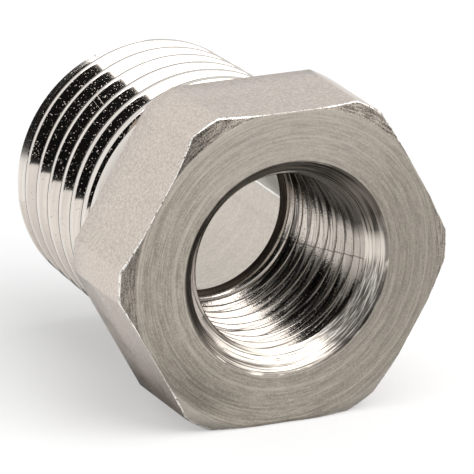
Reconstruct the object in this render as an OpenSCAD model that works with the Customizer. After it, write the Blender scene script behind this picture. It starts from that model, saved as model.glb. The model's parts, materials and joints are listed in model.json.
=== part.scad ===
// Hexagon reducing pipe bushing, quarter inch taper thread to eighth inch port.
// It lies on one flat of its hexagon with the port facing -Y; the middle of the box's bottom is the origin.
// Each module is drawn about Z, from the spigot's small end up, and bushing() lays the whole down.
// The port is drawn as drilled, with the diameter over its thread's crests. All lengths are in millimetres.

/* [Hexagon head] */
// Width across the spanner flats
across_flats = 15.875; // [14.6:0.005:17.2]
// Diameter to which the corners are turned down
corner_diameter = 17.5; // [16.6:0.05:18.4]
// Diameter of the flat port face, where the front chamfer starts
face_diameter = 16.1; // [12:0.05:16.4]
// Slope of the front chamfer, measured from the port face
face_chamfer_angle = 30; // [15:1:45]
// Length of the head along the waterway
head_length = 5.6; // [3:0.1:9]

/* [Threaded spigot] */
// Length of the spigot below the head
spigot_length = 12; // [9.6:0.1:20]
// Diameter over the thread crests at the small end
spigot_end_diameter = 13.25; // [12:0.05:14]
// Length over which the diameter grows by one
taper_ratio = 16; // [12:1:40]
// Width of the chamfer that leads into the thread, at 45 degrees
lead_chamfer = 0.8; // [0.2:0.05:1.2]

/* [Spigot thread] */
// Distance from one crest to the next, right-handed
thread_pitch = 1.411; // [1.1:0.001:1.5]
// Width of the flat crest where the groove is deepest
crest_width = 0.25; // [0.2:0.01:0.4]
// Width of the flat at the bottom of the groove
root_width = 0.06; // [0.04:0.01:0.2]
// Distance from the small end over which the groove keeps its full depth
full_thread_length = 4; // [2:0.1:6]
// Plain length left between the end of the groove and the head
thread_relief = 0.3; // [0.2:0.05:1]
// Direction round the axis in which the groove's middle meets the small end
thread_angle = 231; // [0:1:359]

/* [Port] */
// Diameter of the port's thread over its crests, as drilled before it is tapped
port_diameter = 8.7; // [8.3:0.05:9.8]
// Depth of the port from the face to the end of its full diameter
port_depth = 9.05; // [3:0.05:11]
// Diameter of the countersink where it meets the port face
countersink_diameter = 10.83; // [9.9:0.01:11.5]
// Included angle of the countersink
countersink_angle = 90; // [60:1:120]

/* [Waterway] */
// Diameter of the plain bore below the port
waterway_diameter = 8.2; // [4:0.05:8.25]
// Included angle of the drill that leaves the step between port and waterway
drill_angle = 118; // [90:1:140]
// Width of the edge break where the waterway leaves the spigot
edge_break = 0.3; // [0.1:0.05:0.6]

/* [Hidden] */
$fn = 96;
metal = [0.78, 0.76, 0.73];
total_length = spigot_length + head_length;
corner_r = corner_diameter / 2;
face_r = face_diameter / 2;
face_chamfer_height = (corner_r - face_r) * tan(face_chamfer_angle);
end_r = spigot_end_diameter / 2;
port_r = port_diameter / 2;
countersink_r = countersink_diameter / 2;
countersink_depth = (countersink_r - port_r) / tan(countersink_angle / 2);
waterway_r = waterway_diameter / 2;
step_height = (port_r - waterway_r) / tan(drill_angle / 2);
port_floor = total_length - port_depth;
// How far cutters run past the faces, and how far the spigot runs up into the head
overrun = 1;
// Slope of each flank of the thread
flank_angle = 30;
groove_depth = (thread_pitch - crest_width - root_width) / 2 / tan(flank_angle);
// How far the groove's cutter stands clear of the crests, short of where its own turns would meet
clearance = 0.6 * crest_width / 2 / tan(flank_angle);
// The groove's cutter is straight between this many sections in each turn
sections_per_turn = 36;

// Radius over the spigot's crests at a height above the small end
function crest_r(height) = end_r + height / taper_ratio / 2;

// How far the groove has faded at a height: 0 at full depth, 1 where it ends below the head
function faded(height) =
    max(0, height - full_thread_length) / (spigot_length - thread_relief - full_thread_length);

// Depth of the groove at a height, which turns negative once its cutter is clear of the metal
function depth_at(height) = max(groove_depth * (1 - pow(faded(height), 3)), -clearance / 2);

// Section of the groove's cutter: two corners outside the crests, then two at the root
function cutter_section(height, angle) =
    let (
        open_r = crest_r(height) + clearance,
        root_r = crest_r(height) - depth_at(height),
        root = root_width / 2,
        mouth = root + (open_r - root_r) * tan(flank_angle)
    )
    [
        for (corner = [[open_r, -mouth], [open_r, mouth], [root_r, root], [root_r, -root]])
            [corner.x * cos(angle), corner.x * sin(angle), height + corner.y]
    ];

// A closed body through a row of sections that have the same number of corners
module swept(sections) {
    corners = len(sections[0]);
    last = len(sections) - 1;
    sides = [
        for (row = [0:last - 1], corner = [0:corners - 1])
            let (
                here = row * corners + corner,
                beside = row * corners + (corner + 1) % corners
            )
            each [[here, beside, here + corners], [beside, beside + corners, here + corners]]
    ];
    first_cap = [for (corner = [corners - 1:-1:0]) corner];
    last_cap = [for (corner = [0:corners - 1]) last * corners + corner];
    polyhedron([for (section = sections) each section], concat(sides, [first_cap, last_cap]));
}

// The outline that the lathe gives the hexagon bar: turned corners and a sloping front edge
module head_turning() {
    rotate_extrude()
        polygon([
            [0, spigot_length],
            [corner_r, spigot_length],
            [corner_r, total_length - face_chamfer_height],
            [face_r, total_length],
            [0, total_length]
        ]);
}

module hexagon_bar() {
    translate([0, 0, spigot_length])
        cylinder(d = across_flats / cos(30), h = head_length, $fn = 6);
}

module head() {
    intersection() {
        hexagon_bar();
        head_turning();
    }
}

// The tapered blank of the thread, measured over its crests
module spigot_blank() {
    rotate_extrude()
        polygon([
            [0, 0],
            [crest_r(lead_chamfer) - lead_chamfer, 0],
            [crest_r(lead_chamfer), lead_chamfer],
            [crest_r(spigot_length), spigot_length],
            [crest_r(spigot_length), spigot_length + overrun],
            [0, spigot_length + overrun]
        ]);
}

// The groove's cutter, from one turn below the small end until it has risen out of the spigot
module thread_cutter() {
    last_step = ceil((spigot_length - thread_relief / 2) / thread_pitch * sections_per_turn);
    swept([
        for (step = [-sections_per_turn:last_step])
            let (turn = step / sections_per_turn)
            cutter_section(turn * thread_pitch, thread_angle + turn * 360)
    ]);
}

module spigot() {
    difference() {
        spigot_blank();
        thread_cutter();
    }
}

// Everything the drills and the countersink take away, as one turned cutter
module passage() {
    rotate_extrude()
        polygon([
            [0, -overrun],
            [waterway_r + edge_break + overrun, -overrun],
            [waterway_r, edge_break],
            [waterway_r, port_floor - step_height],
            [port_r, port_floor],
            [port_r, total_length - countersink_depth],
            [countersink_r + overrun * tan(countersink_angle / 2), total_length + overrun],
            [0, total_length + overrun]
        ]);
}

module bushing() {
    color(metal)
        translate([0, total_length / 2, across_flats / 2])
            rotate([90, 0, 0])
                difference() {
                    union() {
                        head();
                        spigot();
                    }
                    passage();
                }
}

bushing();
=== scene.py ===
"""A hexagon reducing pipe bushing on a pale studio floor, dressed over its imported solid.

The piece is one closed surface, drawn in the lathe's own terms: an angle round the waterway, a radius, and
the distance along it from the spigot's small end. lay_down() turns those into the frame, in metres.
Sizes are in millimetres unless a name says otherwise.
"""
import json
import math
import bpy
import numpy as np
from mathutils import Matrix, Vector


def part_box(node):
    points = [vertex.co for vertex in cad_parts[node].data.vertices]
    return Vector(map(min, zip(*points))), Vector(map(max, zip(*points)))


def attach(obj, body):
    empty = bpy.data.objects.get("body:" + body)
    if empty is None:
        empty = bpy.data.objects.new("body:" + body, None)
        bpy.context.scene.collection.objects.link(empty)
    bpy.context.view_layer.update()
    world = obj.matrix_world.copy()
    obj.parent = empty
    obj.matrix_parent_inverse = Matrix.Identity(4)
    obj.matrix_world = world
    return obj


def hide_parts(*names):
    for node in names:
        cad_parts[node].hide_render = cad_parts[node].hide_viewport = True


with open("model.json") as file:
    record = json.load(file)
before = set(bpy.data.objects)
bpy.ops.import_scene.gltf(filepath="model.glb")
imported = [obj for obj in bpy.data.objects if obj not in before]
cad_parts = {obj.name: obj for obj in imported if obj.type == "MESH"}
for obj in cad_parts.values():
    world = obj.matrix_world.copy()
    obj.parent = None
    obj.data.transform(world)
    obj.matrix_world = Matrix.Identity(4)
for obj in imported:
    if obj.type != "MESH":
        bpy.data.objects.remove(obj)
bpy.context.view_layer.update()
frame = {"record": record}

MM = 0.001

# Sizes that the solid already has
low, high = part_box("bushing")
mounts = {mount["name"]: mount for mount in frame["record"]["mounts"]}
LENGTH = (high.y - low.y) / MM
ACROSS_FLATS = (high.z - low.z) / MM
CORNER_R = (high.x - low.x) / MM / 2
SPIGOT = LENGTH / 2 - mounts["head_underside"]["pos_m"][1] / MM
PORT_R = mounts["female_port"]["dims"]["r_mm"]
WATERWAY_R = mounts["waterway"]["dims"]["r_mm"]

# Head: its face and front chamfer, and how wide its rear and front edges are rounded
FLAT_R = ACROSS_FLATS / 2
FACE_R = 8.05
FACE_SLOPE = math.tan(math.radians(30))
REAR_EDGE = 0.06
FRONT_EDGE = 0.09

# The face's bottom edge is rolled over: how much wider it is there, and over how many degrees that fades
ROLL = 0.30
ROLL_SPREAD = 22

# The front chamfer is left out where half its width is below this
CHAMFER_HALF = 0.02

# Rings that only carry the head's surface: one below it, at this share of its sides' radius, one this far up
# its sides, and two on its face, between which the columns thin out
UNDERSIDE_SHARE = 0.95
WAIST = 2.5
FACE_FINE_R = 6.9
FACE_COARSE_R = 6.5

# Spigot, with the plain neck between its thread and the head
END_R = 6.625
TAPER = 1 / 32
LEAD_CHAMFER = 0.8
PLAIN_NECK = 0.25

# The spigot's lands: their width, where and how fast they widen, and where and over what length they close
# up, to just under the pitch
LAND = 0.23
LAND_WIDENS_FROM = 4
LAND_WIDENING = 0.0085
LAND_CLOSES_FROM = 9.1
LAND_CLOSES_OVER = 1.26
LAND_CLOSED = 1.41

# The painted shade line along the spigot's lands: its width, where it ends, and over what length it fades
# there
LAND_SHADE_LINE = 0.13
LAND_SHADE_LINE_END = 8.5
LAND_SHADE_LINE_FADE = 0.3

# Port: the countersink, and its lip as (out from its edge, down from the face)
COUNTERSINK_R = 5.415
LIP = ((0.12, 0), (0.03, 0.006), (-0.02, 0.03), (-0.06, 0.06))
PORT_FLOOR = LENGTH - 9.05

# The port's lands, by their depth below the face, and the depth from which the thread is drawn
PORT_LAND = 0.05
PORT_LAND_WIDENING = 0.008
PORT_LAND_CLOSES_FROM = 7.9
PORT_LAND_CLOSES_OVER = 0.965
PORT_LAND_CLOSED = 0.94
# The width of the painted shade line along the port's lands
PORT_LAND_SHADE_LINE = 0.035
PORT_THREAD_TOP = 0.15

# Waterway: the step below the port as (out from the waterway, down from the port's floor), how far up the
# plain wall is drawn, and the edge break at the small end
STEP = ((0.04, 0.13), (0, 0.19))
WALL_TOP = 7
EDGE_BREAK = 0.3

# Both threads have a 60 degree profile, so a flank runs out this much for each millimetre of depth
FLANK = math.tan(math.radians(30))

# Rows of a thread nearer than this to the end of its wall are drawn onto that end
CLEAR = 0.015

# Rows of a thread nearer than this to each other are drawn as one
TOUCH = 0.0015

# Lengths below this count as none
NOTHING = 1e-9

# Edges that turn by more than this are drawn sharp
SHARP_ANGLE = 28


def lay_down(angle, radius, along):
    """Points in the frame, in metres, for angles in radians and lathe sizes in millimetres."""
    x = radius * np.cos(angle)
    y = LENGTH / 2 - along
    z = FLAT_R + radius * np.sin(angle)
    return np.stack(np.broadcast_arrays(x, y, z), axis=-1) * MM


BAND_HALF = 30 - math.degrees(math.acos(FLAT_R / CORNER_R))
FLUSH_HALF = 30 - math.degrees(math.acos(FLAT_R / FACE_R))


def column_angles():
    """Degrees round the axis, with columns on the edges of the hexagon's turned corners and of its face."""
    soft = 0.5
    half = np.concatenate([
        np.linspace(0, BAND_HALF - soft, 7),
        [BAND_HALF],
        np.linspace(BAND_HALF + soft, FLUSH_HALF, 20),
        np.linspace(FLUSH_HALF, 30, 14)[1:],
    ])
    sector = np.concatenate([half, 60 - half[1:-1][::-1]])
    return np.concatenate([sector + 60 * k for k in range(6)])


# The head has all the columns, and the threads and bores have every second one
HEAD_DEG = column_angles()
LATHE_DEG = HEAD_DEG[::2]


def wavy(period_columns, seed):
    """Smooth noise between -1 and 1, one value for each of the head's columns, that closes on itself."""
    count = len(HEAD_DEG)
    knots = max(3, round(count / period_columns))
    values = np.random.default_rng(seed).uniform(-1, 1, knots)
    places = np.linspace(0, knots, count, endpoint=False)
    return np.interp(places, np.arange(knots + 1), np.append(values, values[0]))


class Surface:
    """Collects rings of points and the faces between them."""

    def __init__(self):
        self.points = []
        self.count = 0
        self.faces = []
        self.slots = []

    def add(self, degrees, radius, along):
        block = lay_down(np.radians(degrees), radius, along).reshape(-1, 3)
        self.points.append(block)
        self.count += len(block)
        return np.arange(self.count - len(block), self.count)

    def ring(self, degrees, radius, along):
        count = len(degrees)
        return self.add(degrees, np.broadcast_to(radius, count), np.broadcast_to(along, count))

    def skin(self, ids, slots):
        """Faces over a grid of point numbers, rows by columns plus one, dropping sides that have closed up.

        slots holds a material's number for each row of faces, or for each face.
        """
        slots = np.asarray(slots).reshape(len(ids) - 1, -1)
        slots = np.broadcast_to(slots, (len(ids) - 1, len(ids[0]) - 1))
        for below, above, row in zip(ids[:-1], ids[1:], slots):
            for *quad, slot in zip(below[:-1], below[1:], above[1:], above[:-1], row):
                corners = list(dict.fromkeys(quad))
                if len(corners) > 2:
                    self.faces.append(corners)
                    self.slots.append(int(slot))

    def bridge(self, rings, slot):
        slots = [slot] * (len(rings) - 1) if isinstance(slot, int) else slot
        self.skin([np.append(ring, ring[0]) for ring in rings], slots)

    def thin_out(self, fine, coarse, slot, coarse_first):
        """A flat band between a ring with all the columns and one with every second column."""
        fine, coarse = np.append(fine, fine[0]), np.append(coarse, coarse[0])
        for k in range(len(coarse) - 1):
            face = [coarse[k], coarse[k + 1], fine[2 * k + 2], fine[2 * k + 1], fine[2 * k]]
            self.faces.append(face if coarse_first else face[::-1])
            self.slots.append(slot)

    def mesh(self, name, materials):
        mesh = bpy.data.meshes.new(name)
        mesh.from_pydata(np.concatenate(self.points).tolist(), [], self.faces)
        for material in materials:
            mesh.materials.append(material)
        mesh.polygons.foreach_set("material_index", self.slots)
        mesh.polygons.foreach_set("use_smooth", [True] * len(self.faces))
        mesh.set_sharp_from_angle(angle=math.radians(SHARP_ANGLE))
        mesh.validate()
        mesh.update()
        return mesh


class Thread:
    """A right-hand thread whose lands lie on a wall, and whose grooves narrow where it runs out.

    sign is 1 for grooves cut into a shaft and -1 for grooves cut outwards into a bore's wall. limit is the
    cone that cuts the thread off at its open end. round_off is the radius at the edges of the lands. rim
    gives the width of the painted shade line, dark along a land's edge nearest the small end, at a place.
    """

    def __init__(self, pitch, land_at, at_angle, width, root, wall, sign, limit, round_off, rim):
        self.pitch = pitch
        self.land_at = land_at
        self.at_angle = at_angle
        self.width = width
        self.root = root
        self.wall = wall
        self.sign = sign
        self.limit = limit
        self.round_off = round_off
        self.rim = rim

    def land(self, number, degrees):
        return self.land_at + self.pitch * (number + (degrees - self.at_angle) / 360)

    def groove(self, centre):
        """Half widths of the lands on both sides of the groove after a land, and the groove's depth."""
        here = self.width(centre) / 2
        after = self.width(centre + self.pitch) / 2
        depth = np.maximum(self.pitch - here - after - self.root, 0) / 2 / FLANK
        return here, after, depth

    def eased(self, past_edge):
        """How deep a flank lies at a distance past the land's edge, with the edge rounded off."""
        return (past_edge + np.sqrt(past_edge ** 2 + self.round_off ** 2)) / 2 / FLANK

    def depth_at(self, along, degrees):
        turns = (along - self.land(0, degrees)) / self.pitch
        centre = self.land(np.floor(turns), degrees)
        here, after, depth = self.groove(centre)
        rising = self.eased(along - centre - here)
        falling = self.eased(centre + self.pitch - after - along)
        return np.minimum(np.minimum(rising, falling), depth)

    def radius(self, along, degrees):
        cut = self.wall(along) - self.sign * self.depth_at(along, degrees)
        stop = self.limit(along)
        return np.minimum(cut, stop) if self.sign > 0 else np.maximum(cut, stop)

    def rows(self, centre):
        """How far along each row of one turn lies, from its land's middle to the next land's."""
        here, after, depth = self.groove(centre)
        reach = depth * FLANK
        soft = np.minimum(self.round_off, reach / 3)
        flank = [-soft, 0 * soft, soft, 2.2 * soft, np.maximum(reach * 0.45, 2.4 * soft), reach]
        down = [here + step for step in flank]
        up = [self.pitch - after - step for step in flank[::-1]]
        rim = np.minimum(self.rim(centre), after)
        return [0 * here, *down, *up, self.pitch - after + np.maximum(rim, 1.1 * soft)]

    def row_slots(self, crest, front, back, rim):
        """A material's number for the faces after each row of one turn."""
        return [crest, crest, crest, front, front, front, front, back, back, back, rim, rim, rim, crest]

    def build(self, surface, start, end, slots, cone):
        """The threaded wall between two places, as (first ring, last ring).

        slots are the materials' numbers for the crests, the flanks towards the port, the flanks away from it
        and the painted shade line along the lands, and cone is the number for what the limit leaves.
        """
        degrees = np.append(LATHE_DEG, 360.0)
        low_end, high_end = min(start, end), max(start, end)
        first = math.floor((low_end - self.land(0, 360)) / self.pitch) - 1
        last = math.ceil((high_end - self.land(0, 0)) / self.pitch) + 1
        along = np.array([
            self.land(number, degrees) + step
            for number in range(first, last)
            for step in self.rows(self.land(number, degrees))
        ])
        turn_rows = len(along) // (last - first)
        along = self.follow_limit(along)
        lower = surface.ring(LATHE_DEG, self.radius(low_end, LATHE_DEG), low_end)
        upper = surface.ring(LATHE_DEG, self.radius(high_end, LATHE_DEG), high_end)
        ids = np.empty(along.shape, int)
        inside = (along > low_end + CLEAR) & (along < high_end - CLEAR)
        for row in range(len(along)):
            pick = inside[row, :-1]
            here = along[row, :-1]
            repeat = pick & (here - along[row - 1, :-1] < TOUCH) & inside[row - 1, :-1] & (row > 0)
            pick = pick & ~repeat
            new = surface.add(LATHE_DEG[pick], self.radius(here[pick], LATHE_DEG[pick]), here[pick])
            ids[row, :-1] = np.where(here <= low_end + CLEAR, lower, upper)
            ids[row, :-1][pick] = new
            ids[row, :-1][repeat] = ids[row - 1, :-1][repeat]
        ids[:, -1] = upper[0]
        ids[:-turn_rows, -1] = ids[turn_rows:, 0]
        row_slots = np.array(self.row_slots(*slots) * (last - first))[:len(along) - 1, None]
        cut_off = self.sign * self.past_limit(along) > -NOTHING
        on_cone = cut_off[:-1, :-1] | cut_off[1:, :-1] | cut_off[:-1, 1:] | cut_off[1:, 1:]
        face_slots = np.where(on_cone, cone, row_slots)
        if start > end:
            surface.skin(ids[::-1], face_slots[::-1])
            return upper, lower
        surface.skin(ids, face_slots)
        return lower, upper

    def past_limit(self, along):
        """How much further out the thread is than its limit, on each of the wall's columns."""
        depth = self.depth_at(along, np.append(LATHE_DEG, 360.0))
        return self.wall(along) - self.sign * depth - self.limit(along)

    def follow_limit(self, along):
        """Moves the nearest row onto each place where the thread runs into the cone that limits it."""
        over = self.past_limit(along)
        for row in range(len(along) - 1):
            crossing = over[row] * over[row + 1] < 0
            share = np.where(crossing, over[row] / np.where(crossing, over[row] - over[row + 1], 1), 0)
            place = along[row] + share * (along[row + 1] - along[row])
            nearer = crossing & (share < 0.5)
            further = crossing & (share >= 0.5)
            along[row] = np.where(nearer, place, along[row])
            along[row + 1] = np.where(further, place, along[row + 1])
            over[row] = np.where(nearer, 0, over[row])
            over[row + 1] = np.where(further, 0, over[row + 1])
        return along


def crest_r(along):
    return END_R + along * TAPER


def lead_cone(along):
    return crest_r(LEAD_CHAMFER) - LEAD_CHAMFER + along


def countersink_cone(along):
    return COUNTERSINK_R - (LENGTH - along)


def spigot_width(along):
    """Lands widen slowly towards the head, then close up where the die stopped."""
    slow = LAND + LAND_WIDENING * np.maximum(along - LAND_WIDENS_FROM, 0) ** 2
    run_out = np.clip((along - LAND_CLOSES_FROM) / LAND_CLOSES_OVER, 0, 1)
    return slow + (LAND_CLOSED - slow) * run_out


def port_width(along):
    """Lands widen slowly with the depth, then close up where the tap stopped."""
    depth = LENGTH - along
    slow = PORT_LAND + PORT_LAND_WIDENING * depth
    run_out = np.clip((depth - PORT_LAND_CLOSES_FROM) / PORT_LAND_CLOSES_OVER, 0, 1)
    return slow + (PORT_LAND_CLOSED - slow) * run_out ** 2


def spigot_shade_line(along):
    """The painted shade line along the lands, which the last one lacks."""
    return LAND_SHADE_LINE * np.clip((LAND_SHADE_LINE_END - along) / LAND_SHADE_LINE_FADE, 0, 1)


# The painted shade line along the port's lands, the same width throughout
def port_shade_line(along):
    return PORT_LAND_SHADE_LINE + 0 * along


spigot_thread = Thread(
    pitch=25.4 / 18, land_at=1.771, at_angle=143, width=spigot_width, root=0.06,
    wall=crest_r, sign=1, limit=lead_cone, round_off=0.03, rim=spigot_shade_line,
)
port_thread = Thread(
    pitch=25.4 / 27, land_at=10.217, at_angle=315, width=port_width, root=0.05,
    wall=lambda along: np.full(np.shape(along), PORT_R), sign=-1, limit=countersink_cone, round_off=0.015,
    rim=port_shade_line,
)


def side_r(degrees):
    """The head's radius in each direction: flats, and corners turned down to a band, softly joined."""
    off_flat = np.radians((degrees % 60) - 30)
    flat = FLAT_R / np.cos(off_flat)
    soft = 0.02
    gap = flat - CORNER_R
    return np.where(
        np.abs(gap) < soft, (flat + CORNER_R) / 2 - (gap ** 2 + soft ** 2) / 4 / soft,
        np.minimum(flat, CORNER_R),
    )


class Outline:
    """The head's front in each column: up its side, along the chamfer where there is one, and over the face.

    place() takes a distance along that line, from the middle of the chamfer.
    """

    def __init__(self, side):
        self.side = side
        self.rim = np.minimum(side, FACE_R)
        self.drop = (side - self.rim) * FACE_SLOPE
        self.half = np.hypot(side - self.rim, self.drop) / 2

    def sharp(self, distance):
        half = self.half
        share = np.clip((distance + half) / np.maximum(2 * half, NOTHING), 0, 1)
        radius = self.side + (self.rim - self.side) * share - np.maximum(distance - half, 0)
        along = LENGTH - self.drop * (1 - share) + np.minimum(distance + half, 0)
        return np.stack([radius, along])

    def place(self, distance, width):
        """The sharp line averaged over a short width, which rounds its corners off."""
        steps = np.linspace(-0.5, 0.5, 9)
        return sum(self.sharp(distance + step * width) for step in steps) / len(steps)


SLOTS = [
    "face", "flat", "chamfer", "edge", "countersink",
    "crest", "flank", "port_crest", "port_flank", "torn", "rim", "waterway", "step", "underside",
]
SLOT = {name: number for number, name in enumerate(SLOTS)}


def build_front(surface, below):
    """The head's front edges, with the chamfer between them, as the last ring, on the face."""
    outline = Outline(side_r(HEAD_DEG))
    crumble = wavy(3, 1) * 0.35 + wavy(9, 2) * 0.25
    off_bottom = np.abs((HEAD_DEG - 270 + 180) % 360 - 180)
    roll = ROLL * np.exp(-(off_bottom / ROLL_SPREAD) ** 2)
    width = FRONT_EDGE * (1 + crumble) + roll
    half = outline.half
    inner = np.minimum(width, half)
    has_chamfer = half > CHAMFER_HALF
    rows = [
        (-half - 1.6 * width, None), (-half - 0.7 * width, None), (-half - 0.35 * width, None),
        (-half, None),
        (-half + 0.35 * inner, has_chamfer), (-half + 0.7 * inner, has_chamfer),
        (0 * half, has_chamfer),
        (half - 0.7 * inner, has_chamfer), (half - 0.35 * inner, has_chamfer), (half, has_chamfer),
        (half + 0.35 * width, None), (half + 0.7 * width, None), (half + 1.6 * width, None),
    ]
    slots = ["flat", "flat", "edge", "edge", "edge", "edge", "chamfer", "chamfer", "chamfer", "face", "face",
             "face", "face"]
    rings = [below]
    for distance, where in rows:
        radius, along = outline.place(distance, width)
        if where is None:
            rings.append(surface.ring(HEAD_DEG, radius, along))
        else:
            ids = rings[-1].copy()
            ids[where] = surface.add(HEAD_DEG[where], radius[where], along[where])
            rings.append(ids)
    surface.bridge(rings, [SLOT[name] for name in slots])
    return rings[-1]


def build_bushing(surface):
    spigot_slots = [SLOT["crest"], SLOT["flank"], SLOT["flank"], SLOT["rim"]]
    start, thread_top = spigot_thread.build(surface, 0, SPIGOT - PLAIN_NECK, spigot_slots, SLOT["crest"])
    neck = surface.ring(LATHE_DEG, crest_r(SPIGOT), SPIGOT)
    surface.bridge([thread_top, neck], SLOT["crest"])

    side = side_r(HEAD_DEG)
    under = surface.ring(HEAD_DEG, side * UNDERSIDE_SHARE, SPIGOT)
    surface.thin_out(under, neck, SLOT["underside"], coarse_first=True)
    heel = surface.ring(HEAD_DEG, side - REAR_EDGE, SPIGOT)
    middle = surface.ring(HEAD_DEG, side - REAR_EDGE * 0.3, SPIGOT + REAR_EDGE * 0.3)
    rear = surface.ring(HEAD_DEG, side, SPIGOT + REAR_EDGE)
    surface.bridge([under, heel, middle, rear], [SLOT["underside"], SLOT["edge"], SLOT["edge"]])
    waist = surface.ring(HEAD_DEG, side, SPIGOT + WAIST)
    surface.bridge([rear, waist], SLOT["flat"])
    face = build_front(surface, waist)

    fine = surface.ring(HEAD_DEG, FACE_FINE_R, LENGTH)
    surface.bridge([face, fine], SLOT["face"])
    coarse = surface.ring(LATHE_DEG, FACE_COARSE_R, LENGTH)
    surface.thin_out(fine, coarse, SLOT["face"], coarse_first=False)
    lip = [surface.ring(LATHE_DEG, COUNTERSINK_R + out, LENGTH - down) for out, down in LIP]
    surface.bridge([coarse, *lip], [SLOT["face"], SLOT["face"], SLOT["countersink"], SLOT["countersink"]])
    port_slots = [SLOT["port_crest"], SLOT["port_flank"], SLOT["torn"], SLOT["rim"]]
    thread_start = LENGTH - PORT_THREAD_TOP
    top, floor = port_thread.build(surface, thread_start, PORT_FLOOR, port_slots, SLOT["countersink"])
    surface.bridge([lip[-1], top], SLOT["countersink"])
    step = [surface.ring(LATHE_DEG, WATERWAY_R + out, PORT_FLOOR - down) for out, down in STEP]
    wall = [surface.ring(LATHE_DEG, WATERWAY_R, along) for along in np.linspace(WALL_TOP, EDGE_BREAK, 4)]
    mouth = surface.ring(LATHE_DEG, WATERWAY_R + EDGE_BREAK, 0)
    surface.bridge([floor, *step], SLOT["step"])
    surface.bridge([step[-1], *wall], SLOT["waterway"])
    surface.bridge([wall[-1], mouth, start], SLOT["underside"])


class Paint:
    """A principled material whose nodes work in the lathe's terms, in millimetres."""

    def __init__(self, name):
        self.material = bpy.data.materials.new(name)
        self.material.use_nodes = True
        self.tree = self.material.node_tree
        self.shader = self.tree.nodes["Principled BSDF"]
        self.shader.inputs["Metallic"].default_value = 1.0
        point = self.node("ShaderNodeTexCoord").outputs["Object"]
        from_axis = self.vector("SUBTRACT", point, (0, 0, FLAT_R * MM))
        self.point = self.vector("MULTIPLY", from_axis, (1 / MM, -1 / MM, 1 / MM))
        parts = self.node("ShaderNodeSeparateXYZ", self.point)
        self.along = parts.outputs["Y"]
        across = self.vector("MULTIPLY", self.point, (1, 0, 1))
        self.radius = self.vector("LENGTH", across, output="Value")
        self.way = self.vector("NORMALIZE", across)

    def node(self, kind, *inputs, **settings):
        node = self.tree.nodes.new(kind)
        for name, value in settings.items():
            setattr(node, name, value)
        for socket, value in zip(node.inputs, inputs):
            self.put(socket, value)
        return node

    def put(self, socket, value):
        if isinstance(value, bpy.types.NodeSocket):
            self.tree.links.new(value, socket)
        else:
            socket.default_value = value

    def vector(self, operation, *inputs, output="Vector"):
        return self.node("ShaderNodeVectorMath", *inputs, operation=operation).outputs[output]

    def dot(self, first, second):
        return self.vector("DOT_PRODUCT", first, second, output="Value")

    def math(self, operation, *inputs):
        return self.node("ShaderNodeMath", *inputs, operation=operation).outputs[0]

    def mixed(self, first, share, second):
        """A share of the first noise, and the rest from the second."""
        rest = self.math("MULTIPLY", second, 1 - share)
        return self.math("ADD", self.math("MULTIPLY", first, share), rest)

    def fade(self, value, start, end, low=0.0, high=1.0):
        """The value's way from start to end, brought to between low and high."""
        return self.node("ShaderNodeMapRange", value, start, end, low, high).outputs[0]

    def noise(self, vector, scale, detail=2.0):
        node = self.node("ShaderNodeTexNoise")
        self.put(node.inputs["Vector"], vector)
        self.put(node.inputs["Scale"], scale)
        self.put(node.inputs["Detail"], detail)
        return node.outputs[0]

    def turned(self, distance, lines, arcs):
        """Noise drawn out round the axis: lines to the millimetre across, about that many arcs to a turn."""
        across = self.math("MULTIPLY", distance, lines)
        shift = self.node("ShaderNodeCombineXYZ", 0.0, across, 0.0).outputs[0]
        round_axis = self.vector("MULTIPLY", self.way, (arcs / 6, 0, arcs / 6))
        return self.noise(self.vector("ADD", shift, round_axis), 1.0, 3.0)

    def beside(self, degrees, twist, width, ragged):
        """1 on a ragged line along the bore in that direction, with a width in millimetres.

        twist is how far the line strays sideways for each millimetre up from the port's floor.
        """
        across = (-math.sin(math.radians(degrees)), 0, math.cos(math.radians(degrees)))
        off = self.dot(self.point, across)
        stray = self.math("MULTIPLY", self.math("SUBTRACT", self.along, PORT_FLOOR - LENGTH / 2), twist)
        off = self.math("ABSOLUTE", self.math("SUBTRACT", off, stray))
        worn = self.math("MULTIPLY", ragged, 2 * width)
        near = self.math("LESS_THAN", off, worn)
        toward = (math.cos(math.radians(degrees)), 0, math.sin(math.radians(degrees)))
        side = self.math("GREATER_THAN", self.dot(self.point, toward), 0.0)
        return self.math("MULTIPLY", near, side)

    def scratch(self, middle, across, length, width):
        """1 on a scratch, from its middle and the way across it, both in the frame, in millimetres."""
        off_middle = self.vector("SUBTRACT", self.point, (middle[0], -middle[1], middle[2] - FLAT_R))
        off_line = self.dot(off_middle, (across[0], -across[1], across[2]))
        on_line = self.math("LESS_THAN", self.math("ABSOLUTE", off_line), width / 2)
        from_middle = self.vector("LENGTH", off_middle, output="Value")
        return self.math("MULTIPLY", on_line, self.math("LESS_THAN", from_middle, length / 2))

    def toward(self, degrees, inner, outer):
        """1 in that direction from the axis, fading to 0 between two angles to its sides, in degrees."""
        way = (math.cos(math.radians(degrees)), 0, math.sin(math.radians(degrees)))
        start, end = math.cos(math.radians(outer)), math.cos(math.radians(inner))
        return self.fade(self.dot(self.way, way), start, end)

    def blend(self, share, colour, other):
        """The colour, with a share of the other laid over it."""
        mix = self.node("ShaderNodeMix", data_type="RGBA")
        self.put(mix.inputs[0], share)
        self.put(mix.inputs[6], colour)
        self.put(mix.inputs[7], (*other, 1.0) if isinstance(other, tuple) else other)
        return mix.outputs[2]

    def patch(self, colour, other, share, degrees, inner, outer):
        """The colour, with a share of the other laid over it in one direction from the axis."""
        return self.blend(self.math("MULTIPLY", self.toward(degrees, inner, outer), share), colour, other)

    def ramp(self, factor, *stops):
        node = self.node("ShaderNodeValToRGB", factor)
        elements = node.color_ramp.elements
        while len(elements) < len(stops):
            elements.new(0.5)
        for element, (place, colour) in zip(elements, stops):
            element.position = place
            element.color = (*colour, 1) if isinstance(colour, tuple) else (colour, colour, colour, 1)
        return node.outputs[0]

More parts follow.
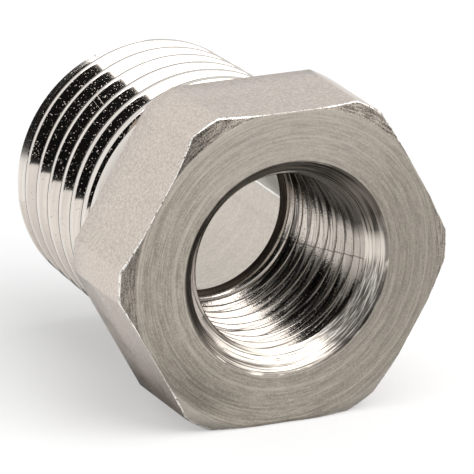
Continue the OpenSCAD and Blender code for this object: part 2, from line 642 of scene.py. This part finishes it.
    def tones(self, factor, colour, depth, spread=0.18):
        """The colour, darkened and lightened by a share of itself where the factor leaves the middle."""
        dark = tuple(c * (1 - depth) for c in colour)
        light = tuple(min(c * (1 + depth), 1) for c in colour)
        return self.ramp(factor, (0.5 - spread, dark), (0.5, colour), (0.5 + spread, light))

    def finish(self, colour, roughness, *heights):
        """Sets the surface. Each height is (noise, its size in thousandths of a millimetre)."""
        self.put(self.shader.inputs["Base Color"], colour)
        self.put(self.shader.inputs["Roughness"], roughness)
        total = None
        for noise, microns in heights:
            part = self.math("MULTIPLY", noise, microns * MM * MM)
            total = part if total is None else self.math("ADD", total, part)
        bump = self.node("ShaderNodeBump")
        bump.inputs["Distance"].default_value = 1.0
        self.put(bump.inputs["Height"], total)
        self.put(self.shader.inputs["Normal"], bump.outputs[0])
        return self.material


NICKEL = (0.62, 0.55, 0.49)

# The hairline down the port's side: its direction at the port's floor, its twist, its width and its brown
HAIRLINE_ANGLE = 334.5
HAIRLINE_TWIST = 0.20
HAIRLINE_WIDTH = 0.024
HAIRLINE_COLOUR = (0.13, 0.11, 0.095)

# Where painted shade under the head, a duller brown, begins on the spigot's last lands and neck, and over
# what length it comes in
NECK_SHADE = 9.7
NECK_SHADE_FADE = 0.9

# Two fine scratches on the spigot's thread: the middle, the way across, the length and the width of each
SCRATCHES = [
    ((-4.00, 4.12, 12.96), (-0.809, 0.177, -0.560), 1.1, 0.030),
    ((-4.22, 4.14, 12.77), (-0.776, 0.141, -0.615), 0.8, 0.014),
]


def paint_face():
    """Dull, finely turned nickel, its marks running round the port."""
    paint = Paint("face")
    fine = paint.turned(paint.radius, 13, 36)
    broad = paint.turned(paint.radius, 2.5, 6)
    grain = paint.noise(paint.point, 12.0, 3.0)
    colour = paint.tones(paint.mixed(fine, 0.55, grain), (0.352, 0.318, 0.270), 0.26, 0.12)
    rings = paint.turned(paint.radius, 9, 3)
    bright = paint.ramp(rings, (0.55, 0.0), (0.61, 0.38))
    dim = paint.ramp(rings, (0.36, 0.30), (0.42, 0.0))
    colour = paint.blend(bright, colour, (0.56, 0.51, 0.45))
    colour = paint.blend(dim, colour, (0.16, 0.145, 0.125))
    # Painted shade towards the face's lower right, and painted light towards its top
    colour = paint.patch(colour, (0.18, 0.165, 0.143), 0.30, 350, 10, 80)
    colour = paint.patch(colour, (0.52, 0.47, 0.42), 0.30, 95, 15, 60)
    rough = paint.ramp(broad, (0.35, 0.34), (0.65, 0.42))
    return paint.finish(colour, rough, (fine, 2.6), (grain, 2.0))


def paint_flat():
    """Satin nickel with a fine sparkle, and faint turning marks on the corners that the lathe took down."""
    paint = Paint("flat")
    grain = paint.noise(paint.point, 8.0, 3.0)
    patches = paint.noise(paint.point, 0.5, 2.0)
    marks = paint.turned(paint.along, 3.0, 30)
    corner = paint.fade(paint.radius, CORNER_R - 0.05, CORNER_R - 0.02)
    cut = paint.math("MULTIPLY", marks, corner)
    lighter = paint.math("MULTIPLY", corner, 0.06)
    colour = paint.tones(paint.math("ADD", grain, lighter), NICKEL, 0.20, 0.2)
    rough = paint.ramp(patches, (0.35, 0.26), (0.65, 0.36))
    return paint.finish(colour, rough, (grain, 3.0), (cut, 6.0))


def paint_chamfer():
    """Coarsely turned: the tool chattered round the corners. Darker at the two upper corners, with painted
    light on the two lower ones.
    """
    paint = Paint("chamfer")
    lines = paint.turned(paint.radius, 11, 60)
    grain = paint.noise(paint.point, 16.0, 2.0)
    mixed = paint.mixed(lines, 0.5, grain)
    colour = paint.tones(mixed, (0.29, 0.26, 0.225), 0.6, 0.12)
    dark = paint.tones(mixed, (0.17, 0.15, 0.13), 0.85, 0.09)
    colour = paint.patch(colour, dark, 0.75, 120, 15, 30)
    colour = paint.patch(colour, dark, 0.60, 60, 12, 26)
    # Painted light on the two lower corners
    colour = paint.patch(colour, (0.60, 0.56, 0.50), 0.6, 270, 38, 60)
    return paint.finish(colour, 0.50, (lines, 9.0), (grain, 7.0))


def paint_edge():
    """Burnished lips, crumbled where the plating has broken."""
    paint = Paint("edge")
    grain = paint.noise(paint.point, 9.0, 3.0)
    colour = paint.ramp(
        grain, (0.33, (0.10, 0.085, 0.07)), (0.41, (0.62, 0.58, 0.53)), (0.50, (0.95, 0.92, 0.88)),
    )
    return paint.finish(colour, 0.25, (grain, 12.0))


def paint_countersink():
    """Turned lines with painted shade at the upper right and left, a painted highlight at the right, crumbs
    and a broken lip.
    """
    paint = Paint("countersink")
    lines = paint.turned(paint.radius, 20, 10)
    grain = paint.noise(paint.point, 12.0, 2.0)
    crumbs = paint.ramp(
        paint.turned(paint.radius, 20, 34),
        (0.41, (0.09, 0.078, 0.068)), (0.50, (0.27, 0.245, 0.22)), (0.62, (0.85, 0.81, 0.76)),
    )
    colour = paint.tones(lines, (0.47, 0.43, 0.38), 0.75, 0.11)
    painted_shade_streaks = paint.tones(lines, (0.10, 0.087, 0.075), 0.75, 0.11)
    # Painted shade at the upper right and at the left, and a painted highlight at the right
    colour = paint.patch(colour, painted_shade_streaks, 0.92, 44, 20, 36)
    colour = paint.patch(colour, painted_shade_streaks, 0.90, 180, 25, 42)
    colour = paint.patch(colour, (0.86, 0.80, 0.72), 0.62, 4, 3, 10)
    colour = paint.patch(colour, crumbs, 0.85, 325, 22, 32)
    lip = paint.fade(paint.radius, COUNTERSINK_R - 0.14, COUNTERSINK_R - 0.09)
    broken = paint.ramp(paint.turned(paint.radius, 2, 24), (0.40, 0.0), (0.50, 0.75))
    colour = paint.blend(paint.math("MULTIPLY", lip, broken), colour, (0.10, 0.088, 0.075))
    return paint.finish(colour, 0.30, (lines, 6.0), (grain, 6.0))


def paint_thread(name, colour, roughness, lines_height, dust):
    """Bright plating with drawn lines along the thread, a little dust and two scratches, and painted shade
    on the neck.
    """
    paint = Paint(name)
    lines = paint.turned(paint.along, 9, 8)
    grain = paint.noise(paint.point, 12.0, 2.0)
    specks = paint.ramp(grain, (0.66, 0.0), (0.72, dust))
    # Painted shade: the neck under the head turns a duller brown
    neck = paint.fade(paint.along, NECK_SHADE - LENGTH / 2, NECK_SHADE + NECK_SHADE_FADE - LENGTH / 2)
    tone = paint.blend(neck, paint.tones(lines, colour, 0.10, 0.2), (0.52, 0.47, 0.42))
    scratched = paint.math("ADD", *(paint.scratch(*scratch) for scratch in SCRATCHES))
    duller = paint.math("MAXIMUM", specks, paint.math("MULTIPLY", scratched, 0.45))
    rough = paint.math("ADD", duller, roughness)
    return paint.finish(tone, rough, (lines, lines_height), (specks, 8.0), (scratched, -4.0))


def paint_port(name, colour, painted_shade, roughness):
    """Torn by the tap: streaks along the thread, duller towards the face, painted shade and a hairline.

    The second colour is that of the painted shade, which darkens the upper right.
    """
    paint = Paint(name)
    fine = paint.turned(paint.along, 20, 9)
    broad = paint.turned(paint.along, 6, 4)
    grain = paint.noise(paint.point, 10.0, 3.0)
    streaks = paint.mixed(fine, 0.65, broad)
    dark = tuple(0.2 * c for c in colour)
    light = tuple(min(1.15 * c, 1) for c in colour)
    tone = paint.ramp(streaks, (0.40, dark), (0.47, colour), (0.62, light))
    outer = paint.fade(paint.along, 2.5, 7.0, 0.0, 0.5)
    duller = paint.tones(streaks, (0.22, 0.195, 0.17), 0.7, 0.10)
    # Painted shade: the port's upper right is darkened towards the second colour
    with_painted_shade = paint.patch(
        paint.blend(outer, tone, duller), paint.tones(streaks, painted_shade, 0.5, 0.12), 0.94, 46, 30, 40,
    )
    hairline = paint.beside(HAIRLINE_ANGLE, HAIRLINE_TWIST, HAIRLINE_WIDTH, grain)
    marked = paint.blend(paint.math("MULTIPLY", hairline, 0.75), with_painted_shade, HAIRLINE_COLOUR)
    drawn = paint.ramp(streaks, (0.50, 0.0), (0.60, 0.20))
    specks = paint.ramp(grain, (0.60, 0.0), (0.68, 0.20))
    rough = paint.math("ADD", paint.math("ADD", drawn, specks), roughness)
    return paint.finish(marked, rough, (streaks, 2.0), (grain, 4.0), (hairline, -5.0))


def paint_torn():
    """The flanks that the tap left rough."""
    paint = Paint("torn")
    lines = paint.turned(paint.along, 12, 9)
    colour = paint.tones(lines, (0.21, 0.185, 0.16), 0.5, 0.15)
    return paint.finish(colour, 0.45, (lines, 6.0))


def paint_shade_line():
    """Painted shade: dark brown lines along the edges of the lands."""
    paint = Paint("rim")
    grain = paint.noise(paint.point, 7.0, 2.0)
    colour = paint.ramp(grain, (0.35, (0.05, 0.044, 0.04)), (0.60, (0.15, 0.135, 0.12)))
    return paint.finish(colour, 0.4, (grain, 3.0))


def paint_step():
    """The drill's step at the end of the port, darkened with painted shade."""
    paint = Paint("step")
    lines = paint.turned(paint.radius, 8, 8)
    colour = paint.tones(lines, (0.21, 0.168, 0.138), 0.45, 0.15)
    return paint.finish(colour, 0.62, (lines, 4.0))


def paint_waterway():
    """Smooth and bright; painted shade in a wedge at the upper right, a painted highlight line below it."""
    paint = Paint("waterway")
    patches = paint.noise(paint.point, 0.7, 2.0)
    marks = paint.turned(paint.along, 2.0, 10)
    grain = paint.noise(paint.point, 7.0, 3.0)
    colour = paint.tones(paint.mixed(marks, 0.3, grain), (0.575, 0.525, 0.465), 0.14, 0.2)
    # Painted shade in the wedge at the upper right, and a painted highlight in the line along the bore below
    # it
    colour = paint.patch(colour, (0.27, 0.27, 0.25), 0.55, 47, 43.6, 44.8)
    colour = paint.blend(paint.beside(1.9, 0, 0.05, grain), colour, (0.92, 0.90, 0.86))
    rough = paint.ramp(patches, (0.35, 0.12), (0.65, 0.20))
    return paint.finish(colour, rough, (marks, 0.6), (grain, 0.8))


def paint_underside():
    """Plainly turned: the head's underside, the small end and its edge break."""
    paint = Paint("underside")
    lines = paint.turned(paint.radius, 5, 10)
    colour = paint.tones(lines, (0.42, 0.36, 0.30), 0.25, 0.15)
    return paint.finish(colour, 0.35, (lines, 4.0))


def make_materials():
    return [
        paint_face(),
        paint_flat(),
        paint_chamfer(),
        paint_edge(),
        paint_countersink(),
        paint_thread("crest", (0.77, 0.72, 0.67), 0.16, 0.6, 0.2),
        paint_thread("flank", (0.70, 0.64, 0.58), 0.07, 0.4, 0.5),
        # The second colour of each port material is its painted shade at the upper right
        paint_port("port_crest", (0.62, 0.575, 0.525), (0.16, 0.145, 0.13), 0.20),
        paint_port("port_flank", (0.68, 0.615, 0.555), (0.055, 0.048, 0.042), 0.14),
        paint_torn(),
        paint_shade_line(),
        paint_waterway(),
        paint_step(),
        paint_underside(),
    ]


surface = Surface()
build_bushing(surface)
bushing = bpy.data.objects.new("threaded_bushing", surface.mesh("threaded_bushing", make_materials()))
bpy.context.scene.collection.objects.link(bushing)
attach(bushing, "root")
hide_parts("bushing")


# Camera
CAMERA_AZIMUTH = -26.276
CAMERA_ELEVATION = 19.220
CAMERA_ROLL = 1.509
CAMERA_DISTANCE = 422.3
CAMERA_AIM = (1.116, -0.969, 6.862)
LENS = 656.9


def direction(azimuth, elevation):
    """The way from the object to a place round it, in degrees: azimuth 0 is in front, at -Y."""
    azimuth, elevation = math.radians(azimuth), math.radians(elevation)
    flat = math.cos(elevation)
    return Vector((math.sin(azimuth) * flat, -math.cos(azimuth) * flat, math.sin(elevation)))


def facing(way, distance, roll=0.0):
    """A place that far out along a way, turned to look back at the object."""
    turn = way.to_track_quat("Z", "Y").to_matrix().to_4x4() @ Matrix.Rotation(math.radians(roll), 4, "Z")
    return Matrix.Translation(way * distance) @ turn


def make_camera():
    data = bpy.data.cameras.new("camera")
    data.lens = LENS
    data.sensor_width = 36
    data.clip_start = 0.01
    data.clip_end = 20
    camera = bpy.data.objects.new("camera", data)
    back = direction(CAMERA_AZIMUTH, CAMERA_ELEVATION)
    aim = Matrix.Translation(Vector(CAMERA_AIM) * MM)
    camera.matrix_world = aim @ facing(back, CAMERA_DISTANCE * MM, CAMERA_ROLL)
    bpy.context.scene.collection.objects.link(camera)
    bpy.context.scene.camera = camera


def paint_plain(name, shade, glow=0.0):
    """Matt paint. glow is what the camera, metal or glass sees of it besides the light that falls on it."""
    material = bpy.data.materials.new(name)
    material.use_nodes = True
    shader = material.node_tree.nodes["Principled BSDF"]
    shader.inputs["Base Color"].default_value = (shade, shade, shade, 1)
    shader.inputs["Roughness"].default_value = 1
    shader.inputs["Specular IOR Level"].default_value = 0
    if glow:
        shader.inputs["Emission Color"].default_value = (1, 1, 1, 1)
        strength = material.node_tree.nodes.new("ShaderNodeMath")
        strength.operation = "MULTIPLY"
        strength.inputs[1].default_value = glow
        material.node_tree.links.new(seen_directly(material.node_tree), strength.inputs[0])
        material.node_tree.links.new(strength.outputs[0], shader.inputs["Emission Strength"])
    return material


def seen_directly(tree):
    """1 on rays from the camera, and from metal or glass."""
    path = tree.nodes.new("ShaderNodeLightPath")
    seen = path.outputs["Is Camera Ray"]
    for ray in ("Is Glossy Ray", "Is Transmission Ray"):
        either = tree.nodes.new("ShaderNodeMath")
        either.operation = "MAXIMUM"
        tree.links.new(seen, either.inputs[0])
        tree.links.new(path.outputs[ray], either.inputs[1])
        seen = either.outputs[0]
    return seen


def make_sheet(name, corners, material):
    """A flat stage sheet in the XY plane, from corners in metres."""
    mesh = bpy.data.meshes.new(name)
    mesh.from_pydata([(x, y, 0) for x, y in corners], [], [tuple(range(len(corners)))])
    mesh.materials.append(material)
    sheet = bpy.data.objects.new(name, mesh)
    bpy.context.scene.collection.objects.link(sheet)
    return sheet


# Half the floor's side, and how far the mats lie above it, in metres
FLOOR_HALF = 2.0
MAT_HEIGHT = 0.00003


def make_floor(shade, glow):
    corners = [(x * FLOOR_HALF, y * FLOOR_HALF) for x, y in ((-1, -1), (1, -1), (1, 1), (-1, 1))]
    make_sheet("floor", corners, paint_plain("floor_paint", shade, glow))


def make_mat(name, corners, shade):
    """A mat on the floor that shows only in the metal. Its corners are in millimetres."""
    mat = make_sheet(name, [(x * MM, y * MM) for x, y in corners], paint_plain(name + "_paint", shade))
    mat.location.z = MAT_HEIGHT
    mat.visible_camera = False
    mat.visible_diffuse = False
    mat.visible_shadow = False


def make_world(fill, left, right):
    """White to the camera. Metal sees it shade off from left to right, and what is matt gets the fill."""
    world = bpy.data.worlds.new("studio")
    bpy.context.scene.world = world
    world.use_nodes = True
    nodes, links = world.node_tree.nodes, world.node_tree.links
    background = nodes["Background"]
    background.inputs["Color"].default_value = (1, 1, 1, 1)
    way = nodes.new("ShaderNodeSeparateXYZ")
    links.new(nodes.new("ShaderNodeTexCoord").outputs["Generated"], way.inputs[0])
    shaded = nodes.new("ShaderNodeMapRange")
    for name, value in (("From Min", -0.5), ("From Max", 0.45), ("To Min", left), ("To Max", right)):
        shaded.inputs[name].default_value = value
    links.new(way.outputs["X"], shaded.inputs["Value"])
    path = nodes.new("ShaderNodeLightPath")
    last = shaded.outputs[0]
    for ray, value in (("Is Diffuse Ray", fill), ("Is Camera Ray", 1.0)):
        choice = nodes.new("ShaderNodeMix")
        links.new(path.outputs[ray], choice.inputs[0])
        links.new(last, choice.inputs[2])
        choice.inputs[3].default_value = value
        last = choice.outputs[0]
    links.new(last, background.inputs["Strength"])


def make_card(name, azimuth, elevation, distance, roll, sides, shade):
    """A flat card that faces the object, out of the camera's sight.

    sides are how far it reaches left, right, down and up, in degrees.
    """
    left, right, down, up = (math.tan(math.radians(side)) * distance for side in sides)
    corners = [(-left, -down), (right, -down), (right, up), (-left, up)]
    card = make_sheet(name, corners, paint_plain(name + "_paint", shade))
    card.matrix_world = facing(direction(azimuth, elevation), distance, roll)
    card.visible_camera = False


def make_lamp(name, azimuth, elevation, distance, width, height, radiance):
    """A soft box aimed at the object. Its power follows from how bright its face is to look."""
    data = bpy.data.lights.new(name, "AREA")
    data.shape = "RECTANGLE"
    data.size = width
    data.size_y = height
    data.energy = radiance * math.pi * width * height
    lamp = bpy.data.objects.new(name, data)
    lamp.matrix_world = facing(direction(azimuth, elevation), distance)
    bpy.context.scene.collection.objects.link(lamp)


make_camera()
make_floor(shade=0.55, glow=0.42)

# These change the floor that the metal sees: by the bushing, before the port, and out past the camera
make_mat("rear_mat", [(-6, -9), (12, -9), (12, 19), (-6, 19)], shade=0.55)
make_mat("front_mat", [(-6, -16.5), (-1.5, -16), (-0.5, -11.5), (-5.5, -12)], shade=0.06)
make_mat("far_mat", [(-105, -78), (2, -130), (-35, -930), (-717, -594)], shade=0.012)
make_world(fill=0.45, left=1.0, right=0.84)

# The dark card behind the camera is what the black streaks of both threads reflect
make_card(
    "camera_card", azimuth=CAMERA_AZIMUTH, elevation=CAMERA_ELEVATION, distance=0.75,
    roll=-32.7, sides=(24, 20, 30.5, 30.5), shade=0.012,
)
make_lamp("front_box", azimuth=33, elevation=33, distance=0.85, width=1.15, height=0.6, radiance=1.8)
make_lamp("top_box", azimuth=20, elevation=72, distance=1.0, width=0.9, height=0.9, radiance=2.6)

bpy.context.scene.view_settings.view_transform = "Standard"
